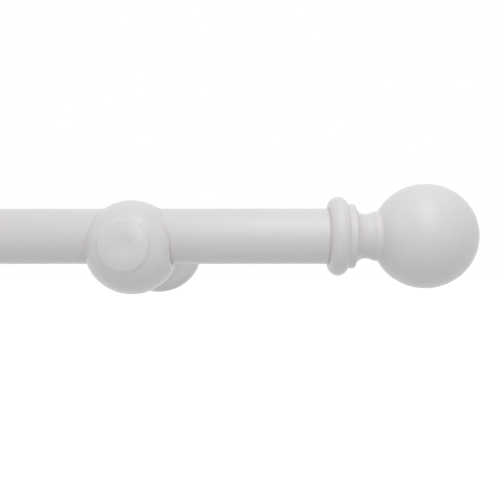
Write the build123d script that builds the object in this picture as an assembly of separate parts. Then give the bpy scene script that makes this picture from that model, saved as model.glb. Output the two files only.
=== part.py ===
from build123d import *
import os
from math import asin, cos, sin, sqrt

# A turned wooden curtain pole with ball finials, carried on two turned wall brackets.
# Millimetres. X runs along the pole, +Y points at the wall and +Z up.
# The origin is on the pole's axis, midway between its two ends.

# Pole
pole_diameter = 28.0
pole_length = 1200.0
pole_end_ease = 0.8

# Finial, turned in one piece: collar bead, step, waisted neck and ball
socket_depth = 11.0
socket_clearance = 0.3
collar_diameter = 39.8
collar_bead_radius = 4.8
collar_cove = 1.1
step_diameter = 32.5
step_width = 3.6
step_ease = 0.9
neck_diameter = 22.5
neck_setback = 5.6
flare_length = 4.3
flare_diameter = 24.8
flare_land = 2.4
ball_cove = 1.8
ball_diameter = 52.7

# Finial screw, a dowel screw with a point at each end
finial_screw_diameter = 5.0
finial_screw_hold_pole = 25.0
finial_screw_hold_finial = 25.0
finial_screw_point = 4.0

# Bracket, turned in one piece: foot, arm, domed head and front boss, with flat flanks where the pole enters
bracket_inset = 110.0
bracket_drop = 5.6
wall_standoff = 95.0
pole_hole_clearance = 0.3
foot_diameter = 27.0
foot_width = 3.0
foot_cove_length = 7.0
arm_diameter = 21.0
arm_cove_length = 12.0
head_diameter = 47.6
head_crown_radius = 32.0
head_back = 20.0
head_dome_start = 15.5
flank_depth = 3.3
flank_ease = 0.6
boss_diameter = 24.2
boss_step = 1.9
boss_step_run = 0.8
boss_cove = 2.4
boss_ease = 0.9
boss_reach = 25.8
boss_crown = 1.5
dish_diameter = 9.6
dish_floor_diameter = 4.4
dish_depth = 0.18

# Wall rose, a turned disc between the arm and the wall
rose_diameter = 53.8
rose_thickness = 14.0
rose_edge_radius = 7.0
rose_back_ease = 0.6

# Wall screw, a long dowel screw from the arm through the rose into the wall
wall_screw_diameter = 6.0
wall_shank_diameter = 4.8
wall_screw_hold_arm = 32.0
wall_screw_hold_wall = 45.0
wall_screw_point = 5.0
rose_hole_clearance = 0.25

# Lock screw, driven up through the head's underside into the pole
lock_screw_diameter = 3.5
lock_screw_length = 18.0
lock_screw_point = 3.0
lock_head_diameter = 7.0
lock_head_height = 2.2
lock_head_crown = 0.7
lock_recess_clearance = 0.4
lock_recess_depth = 4.0

# Every screw stands this far from the wall of its own hole, all round
screw_clearance = 0.05

# Places that follow from the sizes above
pole_radius = pole_diameter / 2
pole_end = pole_length / 2
collar_face = pole_end - socket_depth
bracket_place = pole_end - bracket_inset
pole_hole_radius = pole_radius + pole_hole_clearance
rose_front = wall_standoff - rose_thickness
lock_seat = bracket_drop + head_diameter / 2 - lock_recess_depth
recess_run = head_diameter
flank_gap = head_diameter - 2 * flank_depth


def turned(outline):
    # Spins a closed half-outline, drawn with its turning axis on X, into a solid
    return revolve(make_face(outline), axis=Axis.X)


def rounded(solid, corner, radius):
    # Rounds the turned edge that passes through one corner of the half-outline
    circles = solid.edges().filter_by(GeomType.CIRCLE)
    return fillet(circles.sort_by_distance((*corner, 0))[0], radius)


def along_x(radius, start, end):
    # A round bar on the X axis
    return Pos((start + end) / 2, 0, 0) * Rot(0, 90, 0) * Cylinder(radius, end - start)


def facing_room(solid, place):
    # Turns a piece drawn along X to face the room, on a bracket's own axis
    return Pos(place, 0, -bracket_drop) * Rot(0, 0, -90) * solid


def make_pole():
    pole = along_x(pole_radius, -pole_end, pole_end)
    pole = chamfer(pole.edges().filter_by(GeomType.CIRCLE), pole_end_ease)
    screw_hole = finial_screw_diameter / 2 + screw_clearance
    for side in (-1, 1):
        near, far = sorted((side * (pole_end - finial_screw_hold_pole - screw_clearance), side * pole_end))
        pole -= along_x(screw_hole, near, far)
        pole -= lock_screw_hole(side * bracket_place)
    return pole


def lock_screw_hole(place):
    # The narrow hole that the lock screw's shank fills in the bracket and the pole
    depth = lock_screw_length + screw_clearance
    return Pos(place, 0, depth / 2 - lock_seat) * Cylinder(lock_screw_diameter / 2 + screw_clearance, depth)


def make_finial():
    bead_centre = collar_diameter / 2 - collar_bead_radius
    step_radius = step_diameter / 2
    neck_radius = neck_diameter / 2
    flare_radius = flare_diameter / 2
    ball_radius = ball_diameter / 2
    bead_end = collar_bead_radius + sqrt(collar_bead_radius**2 - (step_radius - bead_centre)**2)
    step_end = bead_end + step_width
    neck_place = step_end + neck_setback
    flare_start = neck_place + flare_length
    ball_start = flare_start + flare_land
    ball_centre = ball_start + sqrt(ball_radius**2 - flare_radius**2)
    bead_root = (bead_end, step_radius)
    step_rim = (step_end, step_radius)
    neck_waist = (neck_place, neck_radius)
    flare_root = (flare_start, flare_radius)
    ball_root = (ball_start, flare_radius)
    ball_tip = (ball_centre + ball_radius, 0)
    finial = turned([
        Line((0, 0), (0, bead_centre)),
        ThreePointArc((0, bead_centre), (collar_bead_radius, collar_diameter / 2), bead_root),
        Line(bead_root, step_rim),
        TangentArc(neck_waist, step_rim, tangent=(-1, 0)),
        TangentArc(neck_waist, flare_root, tangent=(1, 0)),
        Line(flare_root, ball_root),
        ThreePointArc(ball_root, (ball_centre, ball_radius), ball_tip),
        Line(ball_tip, (0, 0)),
    ])
    finial = rounded(finial, bead_root, collar_cove)
    finial = rounded(finial, step_rim, step_ease)
    finial = rounded(finial, ball_root, ball_cove)
    finial -= along_x(pole_radius + socket_clearance, 0, socket_depth)
    screw_end = socket_depth + finial_screw_hold_finial + screw_clearance
    finial -= along_x(finial_screw_diameter / 2 + screw_clearance, socket_depth, screw_end)
    return Pos(collar_face, 0, 0) * finial


def make_finial_screw():
    radius = finial_screw_diameter / 2
    start = pole_end - finial_screw_hold_pole
    end = pole_end + finial_screw_hold_finial
    return turned([
        Line((start, 0), (start + finial_screw_point, radius)),
        Line((start + finial_screw_point, radius), (end - finial_screw_point, radius)),
        Line((end - finial_screw_point, radius), (end, 0)),
        Line((end, 0), (start, 0)),
    ])


def make_bracket(place):
    # Along the turning axis, zero is level with the pole's axis and plus is towards the room
    foot_radius = foot_diameter / 2
    arm_radius = arm_diameter / 2
    head_radius = head_diameter / 2
    boss_radius = boss_diameter / 2
    crown_sink = head_crown_radius - head_radius
    foot = -rose_front
    foot_end = foot + foot_width
    arm_start = foot_end + foot_cove_length
    arm_end = -head_back - arm_cove_length
    head_back_radius = sqrt(head_crown_radius**2 - head_back**2) - crown_sink
    lean = asin(head_dome_start / head_crown_radius)
    dome_root = (head_dome_start, head_crown_radius * cos(lean) - crown_sink)
    boss_rim = (boss_reach - boss_crown, boss_radius)
    dome_rim = (boss_rim[0] - boss_step, boss_radius + boss_step_run)
    dish_rim = (boss_reach, dish_diameter / 2)
    dish_edge = (boss_reach - dish_depth, dish_floor_diameter / 2)
    dish_centre = (boss_reach - dish_depth, 0)
    bracket = turned([
        Line((foot, 0), (foot, foot_radius)),
        Line((foot, foot_radius), (foot_end, foot_radius)),
        TangentArc((arm_start, arm_radius), (foot_end, foot_radius), tangent=(-1, 0)),
        Line((arm_start, arm_radius), (arm_end, arm_radius)),
        TangentArc((arm_end, arm_radius), (-head_back, head_back_radius), tangent=(1, 0)),
        ThreePointArc((-head_back, head_back_radius), (0, head_radius), dome_root),
        TangentArc(dome_root, dome_rim, tangent=(cos(lean), -sin(lean))),
        Line(dome_rim, boss_rim),
        TangentArc(dish_rim, boss_rim, tangent=(0, 1)),
        TangentArc(dish_edge, dish_rim, tangent=(0, 1)),
        Line(dish_edge, dish_centre),
        Line(dish_centre, (foot, 0)),
    ])
    bracket = rounded(bracket, dome_rim, boss_cove)
    bracket = rounded(bracket, boss_rim, boss_ease)
    screw_end = foot + wall_screw_hold_arm + screw_clearance
    bracket -= along_x(wall_screw_diameter / 2 + screw_clearance, foot, screw_end)
    bracket = facing_room(bracket, place)
    bracket &= Pos(place, 0, 0) * Box(flank_gap, 2 * wall_standoff, 2 * wall_standoff)
    bracket = fillet(bracket.faces().filter_by(Axis.X).edges(), flank_ease)
    bracket -= Pos(place, 0, 0) * along_x(pole_hole_radius, -head_diameter, head_diameter)
    bracket -= lock_screw_hole(place)
    recess = Cylinder(lock_head_diameter / 2 + lock_recess_clearance, recess_run)
    bracket -= Pos(place, 0, -lock_seat - recess_run / 2) * recess
    return bracket


def make_rose(place):
    radius = rose_diameter / 2
    back = -wall_standoff
    band_end = -rose_front - rose_edge_radius
    face_radius = radius - rose_edge_radius
    rose = turned([
        Line((back, 0), (back, radius - rose_back_ease)),
        Line((back, radius - rose_back_ease), (back + rose_back_ease, radius)),
        Line((back + rose_back_ease, radius), (band_end, radius)),
        TangentArc((band_end, radius), (-rose_front, face_radius), tangent=(1, 0)),
        Line((-rose_front, face_radius), (-rose_front, 0)),
        Line((-rose_front, 0), (back, 0)),
    ])
    rose -= along_x(wall_screw_diameter / 2 + rose_hole_clearance, back, -rose_front)
    return facing_room(rose, place)


def make_wall_screw(place):
    # Threaded ends in the wall and in the arm, with a thinner plain shank in the rose
    radius = wall_screw_diameter / 2
    shank_radius = wall_shank_diameter / 2
    wall_tip = -wall_standoff - wall_screw_hold_wall
    wall_taper = wall_tip + wall_screw_point
    arm_tip = -rose_front + wall_screw_hold_arm
    arm_taper = arm_tip - wall_screw_point
    screw = turned([
        Line((wall_tip, 0), (wall_taper, radius)),
        Line((wall_taper, radius), (-wall_standoff, radius)),
        Line((-wall_standoff, radius), (-wall_standoff, shank_radius)),
        Line((-wall_standoff, shank_radius), (-rose_front, shank_radius)),
        Line((-rose_front, shank_radius), (-rose_front, radius)),
        Line((-rose_front, radius), (arm_taper, radius)),
        Line((arm_taper, radius), (arm_tip, 0)),
        Line((arm_tip, 0), (wall_tip, 0)),
    ])
    return facing_room(screw, place)


def make_lock_screw(place):
    radius = lock_screw_diameter / 2
    head_radius = lock_head_diameter / 2
    under_head = lock_head_height - lock_head_crown
    point_start = lock_screw_length - lock_screw_point
    screw = turned([
        TangentArc((-lock_head_height, 0), (-under_head, head_radius), tangent=(0, 1)),
        Line((-under_head, head_radius), (0, head_radius)),
        Line((0, head_radius), (0, radius)),
        Line((0, radius), (point_start, radius)),
        Line((point_start, radius), (lock_screw_length, 0)),
        Line((lock_screw_length, 0), (-lock_head_height, 0)),
    ])
    return Pos(place, 0, -lock_seat) * Rot(0, -90, 0) * screw


nodes = {"pole": make_pole()}
for side, sign in (("left", -1), ("right", 1)):
    for name, piece in (("finial", make_finial()), ("finial_screw", make_finial_screw())):
        nodes[f"{name}_{side}"] = piece if sign > 0 else mirror(piece, about=Plane.YZ)
    nodes[f"bracket_{side}"] = make_bracket(sign * bracket_place)
    nodes[f"wall_rose_{side}"] = make_rose(sign * bracket_place)
    nodes[f"wall_screw_{side}"] = make_wall_screw(sign * bracket_place)
    nodes[f"lock_screw_{side}"] = make_lock_screw(sign * bracket_place)

os.makedirs("parts", exist_ok=True)
for name, solid in nodes.items():
    export_step(solid, f"parts/{name}.step")
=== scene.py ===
from math import pi, radians

import bmesh
import bpy
from mathutils import Matrix, Vector


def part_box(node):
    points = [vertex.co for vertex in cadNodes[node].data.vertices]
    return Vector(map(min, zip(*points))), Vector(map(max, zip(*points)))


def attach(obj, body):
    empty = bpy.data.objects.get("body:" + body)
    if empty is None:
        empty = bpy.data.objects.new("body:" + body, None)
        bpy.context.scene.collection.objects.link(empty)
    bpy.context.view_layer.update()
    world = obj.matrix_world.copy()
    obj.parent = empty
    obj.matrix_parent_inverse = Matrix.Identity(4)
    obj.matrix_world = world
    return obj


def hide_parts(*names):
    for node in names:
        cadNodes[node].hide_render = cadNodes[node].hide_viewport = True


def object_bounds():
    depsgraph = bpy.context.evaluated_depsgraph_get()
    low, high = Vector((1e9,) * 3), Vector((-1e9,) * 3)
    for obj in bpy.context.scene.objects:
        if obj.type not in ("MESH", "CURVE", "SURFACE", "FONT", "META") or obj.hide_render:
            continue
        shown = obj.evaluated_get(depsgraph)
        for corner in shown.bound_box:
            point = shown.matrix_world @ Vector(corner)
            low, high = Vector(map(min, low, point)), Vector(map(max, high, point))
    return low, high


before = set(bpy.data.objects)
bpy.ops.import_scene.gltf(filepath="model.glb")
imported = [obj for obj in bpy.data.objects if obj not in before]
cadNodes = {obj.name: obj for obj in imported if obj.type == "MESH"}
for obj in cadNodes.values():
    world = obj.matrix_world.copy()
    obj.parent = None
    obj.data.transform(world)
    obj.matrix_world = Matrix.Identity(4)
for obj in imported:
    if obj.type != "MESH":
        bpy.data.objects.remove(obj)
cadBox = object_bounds()
scene = bpy.context.scene
mm = 0.001
sides = ("left", "right")
print("frame loaded with", len(cadNodes), "nodes")


# Small helpers for node trees

def startMaterial(name):
    material = bpy.data.materials.new(name)
    material.use_nodes = True
    tree = material.node_tree
    return material, tree, tree.nodes["Principled BSDF"]


def addNode(tree, kind, inputs=None, **settings):
    node = tree.nodes.new(kind)
    for key, value in settings.items():
        setattr(node, key, value)
    for key, value in (inputs or {}).items():
        if isinstance(value, bpy.types.NodeSocket):
            tree.links.new(value, node.inputs[key])
        else:
            node.inputs[key].default_value = value
    return node


def blendColours(tree, share, first, second):
    node = addNode(tree, "ShaderNodeMix", data_type="RGBA")
    tree.links.new(share, node.inputs["Factor"])
    for key, value in (("A", first), ("B", second)):
        socket = next(s for s in node.inputs if s.name == key and s.type == "RGBA")
        if isinstance(value, bpy.types.NodeSocket):
            tree.links.new(value, socket)
        else:
            socket.default_value = (*value, 1)
    return next(s for s in node.outputs if s.type == "RGBA")


def spread(tree, value, low, high, toLow, toHigh):
    node = addNode(tree, "ShaderNodeMapRange", {"Value": value})
    for key, number in (("From Min", low), ("From Max", high), ("To Min", toLow), ("To Max", toHigh)):
        node.inputs[key].default_value = number
    return node.outputs["Result"]


# White satin paint over turned softwood

paint = {
    "colour": (0.80, 0.777, 0.80),
    "shade": (0.77, 0.745, 0.768),
    "gloss": (0.2, 0.8, 0.29, 0.36),        # noise from, to, and the roughness it gives
    "fibreAcross": 750,                     # fibres in a metre, across and along the grain
    "fibreAlong": 22,
    "fibreHeight": 0.016 * mm,
    "peelScale": 520,                       # the sprayed coat's faint orange peel
    "peelHeight": 0.010 * mm,
    "blotchScale": 34,
    "streaks": (0.35, 0.75, 0, 0.55),       # noise from, to, and the share of shade it gives
    "clouds": (0.2, 0.8, 0, 0.35),
    "shift": {"pole": 1, "finial": 4, "rose": 7, "bracket": 9},     # sets the pieces' grain apart
}
alongPole, towardsWall = 0, 1       # axis that the grain follows


def woodFibres(tree, place, grain, shift):
    stretch = [paint["fibreAcross"]] * 3
    stretch[grain] = paint["fibreAlong"]
    along = addNode(tree, "ShaderNodeMapping",
                    {"Vector": place, "Scale": stretch, "Location": (shift, shift, shift)})
    fibres = addNode(tree, "ShaderNodeTexNoise",
                     {"Vector": along.outputs["Vector"], "Scale": 1, "Detail": 3})
    return fibres.outputs["Fac"]


def paintedWood(name, grain, shift):
    material, tree, shader = startMaterial(name)
    place = addNode(tree, "ShaderNodeTexCoord").outputs["Object"]
    fibres = woodFibres(tree, place, grain, shift)
    blotch = addNode(tree, "ShaderNodeTexNoise",
                     {"Vector": place, "Scale": paint["blotchScale"], "Detail": 2}).outputs["Fac"]
    peel = addNode(tree, "ShaderNodeTexNoise",
                   {"Vector": place, "Scale": paint["peelScale"], "Detail": 2}).outputs["Fac"]
    streaks = spread(tree, fibres, *paint["streaks"])
    clouds = spread(tree, blotch, *paint["clouds"])
    tint = blendColours(tree, streaks, paint["colour"], paint["shade"])
    tint = blendColours(tree, clouds, tint, paint["shade"])
    rough = spread(tree, blotch, *paint["gloss"])
    bump = addNode(tree, "ShaderNodeBump",
                   {"Height": fibres, "Strength": 1, "Distance": paint["fibreHeight"]})
    bump = addNode(tree, "ShaderNodeBump",
                   {"Height": peel, "Strength": 1, "Distance": paint["peelHeight"],
                    "Normal": bump.outputs["Normal"]})
    tree.links.new(tint, shader.inputs["Base Color"])
    tree.links.new(rough, shader.inputs["Roughness"])
    tree.links.new(bump.outputs["Normal"], shader.inputs["Normal"])
    return material, tree, shader, place, tint, rough


# Bare end grain on the back of each rose, with overspray at its rim

bareBack = {
    "pale": (0.60, 0.43, 0.26),
    "dark": (0.44, 0.28, 0.15),
    "ringScale": 95,
    "ringWobble": 1.5,
    "wobbleScale": 1.2,
    "wobbleDetail": 3,
    "pithOff": 38 * mm,
    "pores": (0.5, 0.8, 0, 0.6),
    "poreShift": 3,
    "oversprayWidth": 5 * mm,
    "mistScale": 420,
    "mist": (0.75, 1.05, 0, 1),
    "dulled": 0.35,
    "skin": 0.15 * mm,
}


def roseFinish(side):
    low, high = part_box("wall_rose_" + side)
    middle = (low + high) / 2
    radius = (high.x - low.x) / 2
    material, tree, shader, place, tint, rough = paintedWood(
        "paintedRose_" + side, towardsWall, paint["shift"]["rose"])
    pithPlace = (bareBack["pithOff"] - middle.x, 0, -middle.z - bareBack["pithOff"])
    pith = addNode(tree, "ShaderNodeMapping", {"Vector": place, "Location": pithPlace})
    growth = addNode(tree, "ShaderNodeTexWave",
                     {"Vector": pith.outputs["Vector"], "Scale": bareBack["ringScale"],
                      "Distortion": bareBack["ringWobble"], "Detail": bareBack["wobbleDetail"],
                      "Detail Scale": bareBack["wobbleScale"]},
                     wave_type="RINGS", rings_direction="Y", wave_profile="SAW")
    pores = woodFibres(tree, place, towardsWall, bareBack["poreShift"])
    wood = blendColours(tree, growth.outputs["Fac"], bareBack["pale"], bareBack["dark"])
    wood = blendColours(tree, spread(tree, pores, *bareBack["pores"]), wood, bareBack["dark"])
    # distance from the rose's own axis, for the overspray
    flat = addNode(tree, "ShaderNodeVectorMath",
                   {0: place, 1: (middle.x, 0, middle.z)}, operation="SUBTRACT")
    flat = addNode(tree, "ShaderNodeVectorMath",
                   {0: flat.outputs["Vector"], 1: (1, 0, 1)}, operation="MULTIPLY")
    away = addNode(tree, "ShaderNodeVectorMath",
                   {0: flat.outputs["Vector"]}, operation="LENGTH").outputs["Value"]
    mist = addNode(tree, "ShaderNodeTexNoise",
                   {"Vector": place, "Scale": bareBack["mistScale"], "Detail": 4}).outputs["Fac"]
    inside = spread(tree, away, radius - bareBack["oversprayWidth"], radius, 1, 0)
    patchy = addNode(tree, "ShaderNodeMath", {0: inside, 1: mist}, operation="ADD").outputs["Value"]
    bare = spread(tree, patchy, *bareBack["mist"])
    depth = addNode(tree, "ShaderNodeSeparateXYZ", {"Vector": place}).outputs["Y"]
    onBack = addNode(tree, "ShaderNodeMath", {0: depth, 1: high.y - bareBack["skin"]},
                     operation="GREATER_THAN").outputs["Value"]
    bare = addNode(tree, "ShaderNodeMath",
                   {0: bare, 1: onBack}, operation="MULTIPLY").outputs["Value"]
    tree.links.new(blendColours(tree, bare, tint, wood), shader.inputs["Base Color"])
    dull = addNode(tree, "ShaderNodeMath",
                   {0: bare, 1: bareBack["dulled"], 2: rough}, operation="MULTIPLY_ADD")
    tree.links.new(dull.outputs["Value"], shader.inputs["Roughness"])
    return material


# Zinc-plated steel for the screws

zinc = {
    "pale": (0.57, 0.58, 0.59),
    "warm": (0.52, 0.49, 0.43),
    "bloomScale": 260,
    "bloom": (0.35, 0.7, 0, 1),
    "gloss": (0.3, 0.7, 0.24, 0.42),
    "grainScale": 2400,
    "grainHeight": 0.006 * mm,
}


def zincSteel():
    material, tree, shader = startMaterial("zincPlatedSteel")
    place = addNode(tree, "ShaderNodeTexCoord").outputs["Object"]
    bloom = addNode(tree, "ShaderNodeTexNoise",
                    {"Vector": place, "Scale": zinc["bloomScale"], "Detail": 5}).outputs["Fac"]
    grain = addNode(tree, "ShaderNodeTexNoise",
                    {"Vector": place, "Scale": zinc["grainScale"], "Detail": 2}).outputs["Fac"]
    tint = blendColours(tree, spread(tree, bloom, *zinc["bloom"]), zinc["pale"], zinc["warm"])
    bump = addNode(tree, "ShaderNodeBump",
                   {"Height": grain, "Strength": 1, "Distance": zinc["grainHeight"]})
    tree.links.new(tint, shader.inputs["Base Color"])
    tree.links.new(spread(tree, bloom, *zinc["gloss"]), shader.inputs["Roughness"])
    tree.links.new(bump.outputs["Normal"], shader.inputs["Normal"])
    shader.inputs["Metallic"].default_value = 1
    return material


def dress(node, material):
    mesh = cadNodes[node].data
    mesh.materials.clear()
    mesh.materials.append(material)


dress("pole", paintedWood("paintedPole", alongPole, paint["shift"]["pole"])[0])
finialPaint = paintedWood("paintedFinial", alongPole, paint["shift"]["finial"])[0]
for side in sides:
    dress("finial_" + side, finialPaint)
    dress("wall_rose_" + side, roseFinish(side))
print("paint dressed on the pole, finials and roses")


# Pieces of the scene, each in place of its plain solid

finish = {"doubles": 0.002 * mm, "slivers": 0.001 * mm, "sharp": 40}


def finishPiece(bm, name, node, place, material, slivers=finish["slivers"]):
    bmesh.ops.remove_doubles(bm, verts=bm.verts, dist=finish["doubles"])
    bmesh.ops.dissolve_degenerate(bm, edges=bm.edges, dist=slivers)
    bmesh.ops.transform(bm, matrix=place, verts=bm.verts)
    bmesh.ops.recalc_face_normals(bm, faces=bm.faces)
    for face in bm.faces:
        face.smooth = True
    for edge in bm.edges:
        edge.smooth = edge.calc_face_angle(0) < radians(finish["sharp"])
    mesh = bpy.data.meshes.new(name)
    bm.to_mesh(mesh)
    bm.free()
    mesh.materials.append(material)
    piece = bpy.data.objects.new(name, mesh)
    scene.collection.objects.link(piece)
    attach(piece, "root")
    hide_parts(node)
    return piece


# Threaded screws, drawn upwards from their lower end and then laid in place

thread = {
    "ridge": ((0, 0), (0.46, 0), (0.70, 1), (0.77, 1), (1, 0)),     # share of a pitch, share of the height
    "core": 0.70,               # share of the full radius left between the ridges
    "steps": 30,
}
wallScrew = {"pitch": 2.7 * mm, "shank": 2.4 * mm, "point": 5.0 * mm}
finialScrew = {"pitch": 2.2 * mm, "point": 4.0 * mm}
lockScrew = {
    "pitch": 1.3 * mm,
    "radius": 1.75 * mm,
    "point": 3.0 * mm,
    "headHeight": 2.2 * mm,
    "crown": 0.7 * mm,
    "rimEase": 0.25 * mm,
    "crossArm": 1.9 * mm,
    "crossHalf": 0.45 * mm,
    "crossDepth": 1.2 * mm,
    "crossTaper": 0.7,
    "fillRing": 2.5 * mm,
    "steps": 48,
}
steel = zincSteel()


def addThread(bm, length, radius, pitch, lowPoint, highPoint, plain=None, shank=0):
    # one pitch of outline climbs the axis; each point is then set to its own distance from it
    corners = [bm.verts.new((mm * (1 + height), 0, pitch * (share - 1)))
               for share, height in thread["ridge"]]
    edges = [bm.edges.new(pair) for pair in zip(corners, corners[1:])]
    turns = round(length / pitch) + 2       # a spare turn at each end
    bmesh.ops.spin(bm, geom=corners + edges, cent=(0, 0, 0), axis=(0, 0, 1), angle=2 * pi * turns,
                   steps=turns * thread["steps"], dvec=(0, 0, pitch / thread["steps"]))
    bmesh.ops.remove_doubles(bm, verts=bm.verts, dist=pitch / 100)
    for vert in bm.verts:
        away = vert.co.to_2d()
        ridge = away.length / mm - 1
        height = min(max(vert.co.z, 0), length)
        cut = 1
        if plain:
            cut = min(max((plain[0] - height) / pitch, (height - plain[1]) / pitch, 0), 1)
        low = shank + (radius * thread["core"] - shank) * cut
        high = shank + (radius - shank) * cut
        point = min(1, height / lowPoint if lowPoint else 1, (length - height) / highPoint)
        away *= (low + (high - low) * ridge) * point / away.length
        vert.co = (*away, height)


def buildWallScrew(side):
    node = "wall_screw_" + side
    low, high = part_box(node)
    roseLow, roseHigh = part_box("wall_rose_" + side)
    bm = bmesh.new()
    addThread(bm, high.y - low.y, (high.x - low.x) / 2, wallScrew["pitch"], wallScrew["point"],
              wallScrew["point"], (roseLow.y - low.y, roseHigh.y - low.y), wallScrew["shank"])
    middle = (low + high) / 2
    place = Matrix.Translation((middle.x, low.y, middle.z)) @ Matrix.Rotation(radians(-90), 4, "X")
    finishPiece(bm, "threadedWallScrew_" + side, node, place, steel)


def buildFinialScrew(side):
    node = "finial_screw_" + side
    low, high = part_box(node)
    bm = bmesh.new()
    addThread(bm, high.x - low.x, (high.z - low.z) / 2, finialScrew["pitch"], finialScrew["point"],
              finialScrew["point"])
    middle = (low + high) / 2
    place = Matrix.Translation((low.x, middle.y, middle.z)) @ Matrix.Rotation(radians(90), 4, "Y")
    finishPiece(bm, "threadedFinialScrew_" + side, node, place, steel)


def addCrossHead(bm, radius):
    # a shallow dome that faces down, with a tapered cross sunk into it
    height, crown, ease = lockScrew["headHeight"], lockScrew["crown"], lockScrew["rimEase"]
    arc = (radius ** 2 + crown ** 2) / (2 * crown)

    def dome(away):
        return arc - (arc ** 2 - away ** 2) ** 0.5

    inner = lockScrew["fillRing"]
    outline = [(inner, dome(inner)), (radius - ease, dome(radius - ease)),
               (radius, crown + ease), (radius, height), (0, height)]
    points = [bm.verts.new((away, 0, up)) for away, up in outline]
    edges = [bm.edges.new(pair) for pair in zip(points, points[1:])]
    bmesh.ops.spin(bm, geom=points + edges, cent=(0, 0, 0), axis=(0, 0, 1), angle=2 * pi,
                   steps=lockScrew["steps"], use_merge=True)
    bmesh.ops.remove_doubles(bm, verts=bm.verts, dist=finish["doubles"])
    ring = [edge for edge in bm.edges if edge.is_boundary]
    arm, half = lockScrew["crossArm"], lockScrew["crossHalf"]
    cross = []
    for turn in range(4):
        for x, y in ((arm, -half), (arm, half), (half, half)):
            corner = Matrix.Rotation(turn * pi / 2, 3, "Z") @ Vector((x, y, 0))
            corner.z = dome(corner.length)
            cross.append(bm.verts.new(corner))
    rim = [bm.edges.new(pair) for pair in zip(cross, cross[1:] + cross[:1])]
    bmesh.ops.triangle_fill(bm, edges=ring + rim, use_beauty=True)
    sunk = bmesh.ops.extrude_edge_only(bm, edges=rim)["geom"]
    floorPoints = [item for item in sunk if isinstance(item, bmesh.types.BMVert)]
    floorEdges = [item for item in sunk if isinstance(item, bmesh.types.BMEdge)]
    for vert in floorPoints:
        vert.co *= lockScrew["crossTaper"]
        vert.co.z = lockScrew["crossDepth"]
    bmesh.ops.edgeloop_fill(bm, edges=floorEdges)


def buildLockScrew(side):
    node = "lock_screw_" + side
    low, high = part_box(node)
    shank = bmesh.new()
    addThread(shank, high.z - low.z - lockScrew["headHeight"], lockScrew["radius"], lockScrew["pitch"],
              0, lockScrew["point"])
    bmesh.ops.translate(shank, verts=shank.verts, vec=(0, 0, lockScrew["headHeight"]))
    held = bpy.data.meshes.new("lockShank_" + side)
    shank.to_mesh(held)
    shank.free()
    bm = bmesh.new()
    addCrossHead(bm, (high.x - low.x) / 2)
    bm.from_mesh(held)
    bpy.data.meshes.remove(held)
    middle = (low + high) / 2
    place = Matrix.Translation((middle.x, middle.y, low.z))
    finishPiece(bm, "crossHeadLockScrew_" + side, node, place, steel)


for side in sides:
    buildWallScrew(side)
    buildFinialScrew(side)
    buildLockScrew(side)
print("threaded screws built")


# Brackets, copied from their solids with sliver triangles dissolved, so that the paint shades evenly

bracket = {"slivers": 0.01 * mm}
bracketPaint = paintedWood("paintedBracket", towardsWall, paint["shift"]["bracket"])[0]


def buildBracket(side):
    node = "bracket_" + side
    bm = bmesh.new()
    bm.from_mesh(cadNodes[node].data)
    piece = finishPiece(bm, "smoothBracket_" + side, node, Matrix.Identity(4), bracketPaint,
                        bracket["slivers"])
    piece.modifiers.new("evenShading", "WEIGHTED_NORMAL").keep_sharp = True


for side in sides:
    buildBracket(side)
print("brackets built")


# Pale floor, white surroundings and a row of softboxes, the middle one weaker

stage = {
    "floorDrop": 0.42,
    "floorSize": 30,
    "floorColour": (0.80, 0.80, 0.80),
    "floorGlow": 0.62,
    "ambient": 0.592,
    "whiteSurround": 1.0,
    "keyLamps": ((-0.61, 0.61), (0, 0.26), (0.61, 0.61)),     # place along the rod, watts
    "keySize": (0.2, 0.5),
    "keyReach": 0.4,
    "keyRise": 44,
}


def seenDirectly(tree):
    # 1 for rays that meet the surroundings straight, in gloss or through glass
    ray = addNode(tree, "ShaderNodeLightPath").outputs
    mirror = addNode(tree, "ShaderNodeMath",
                     {0: ray["Is Glossy Ray"], 1: ray["Is Transmission Ray"]}, operation="MAXIMUM")
    seen = addNode(tree, "ShaderNodeMath",
                   {0: ray["Is Camera Ray"], 1: mirror.outputs["Value"]}, operation="MAXIMUM")
    return seen.outputs["Value"]


def buildSurround():
    world = bpy.data.worlds.new("whiteSurround")
    world.use_nodes = True
    scene.world = world
    tree = world.node_tree
    tree.nodes.clear()
    white = (1, 1, 1, 1)
    soft = addNode(tree, "ShaderNodeBackground", {"Color": white, "Strength": stage["ambient"]})
    plain = addNode(tree, "ShaderNodeBackground", {"Color": white, "Strength": stage["whiteSurround"]})
    mix = addNode(tree, "ShaderNodeMixShader",
                  {0: seenDirectly(tree), 1: soft.outputs[0], 2: plain.outputs[0]})
    addNode(tree, "ShaderNodeOutputWorld", {"Surface": mix.outputs[0]})


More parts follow.
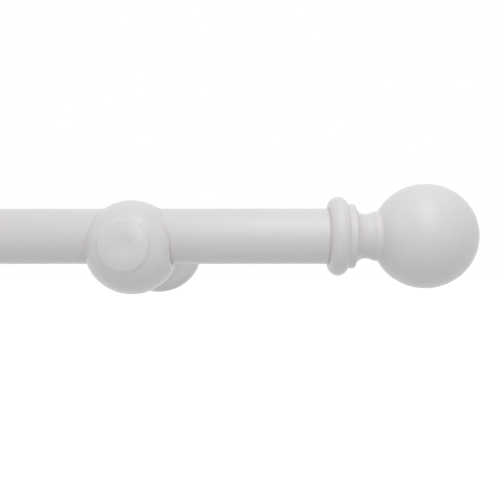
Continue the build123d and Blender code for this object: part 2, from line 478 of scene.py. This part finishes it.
def buildFloor():
    bm = bmesh.new()
    bmesh.ops.create_grid(bm, x_segments=1, y_segments=1, size=stage["floorSize"] / 2)
    bmesh.ops.translate(bm, verts=bm.verts, vec=(0, 0, cadBox[0].z - stage["floorDrop"]))
    mesh = bpy.data.meshes.new("floor")
    bm.to_mesh(mesh)
    bm.free()
    material, tree, shader = startMaterial("paleFloor")
    tree.nodes.remove(shader)
    matt = addNode(tree, "ShaderNodeBsdfDiffuse", {"Color": (*stage["floorColour"], 1)})
    strength = addNode(tree, "ShaderNodeMath",
                       {0: seenDirectly(tree), 1: stage["floorGlow"]}, operation="MULTIPLY")
    glow = addNode(tree, "ShaderNodeEmission", {"Strength": strength.outputs["Value"]})
    both = addNode(tree, "ShaderNodeAddShader", {0: matt.outputs[0], 1: glow.outputs[0]})
    tree.links.new(both.outputs[0], tree.nodes["Material Output"].inputs["Surface"])
    mesh.materials.append(material)
    floor = bpy.data.objects.new("floor", mesh)
    scene.collection.objects.link(floor)


def addSoftbox(place, watts):
    lamp = bpy.data.lights.new("softbox", "AREA")
    lamp.shape = "RECTANGLE"
    lamp.size, lamp.size_y = stage["keySize"]
    lamp.energy = watts
    softbox = bpy.data.objects.new("softbox", lamp)
    tilt = Matrix.Rotation(radians(90 - stage["keyRise"]), 4, "X")
    softbox.matrix_world = (Matrix.Translation((place, 0, 0)) @ tilt
                            @ Matrix.Translation((0, 0, stage["keyReach"])))
    scene.collection.objects.link(softbox)


buildSurround()
buildFloor()
for place, watts in stage["keyLamps"]:
    addSoftbox(place, watts)
print("floor, surround and softboxes placed")


# Camera, close to the right end of the rod

camera = {
    "lens": 45.14,
    "sensor": 36.0,
    "reach": 317.6 * mm,
    "rightOfBracket": 59.55 * mm,
    "height": -12.5 * mm,
    "yaw": 0.5,
    "pitch": 1.0,
    "clip": (0.01, 100),
}


def buildCamera():
    low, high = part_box("bracket_right")
    data = bpy.data.cameras.new("camera")
    data.lens = camera["lens"]
    data.sensor_width = camera["sensor"]
    data.clip_start, data.clip_end = camera["clip"]
    eye = bpy.data.objects.new("camera", data)
    aim = Vector(((low.x + high.x) / 2 + camera["rightOfBracket"], 0, camera["height"]))
    turn = Matrix.Rotation(radians(camera["yaw"]), 4, "Z")
    eye.matrix_world = (Matrix.Translation(aim) @ turn @ Matrix.Translation((0, -camera["reach"], 0))
                        @ Matrix.Rotation(radians(90 + camera["pitch"]), 4, "X"))
    scene.collection.objects.link(eye)
    scene.camera = eye


buildCamera()
scene.view_settings.view_transform = "Standard"
print("camera placed")
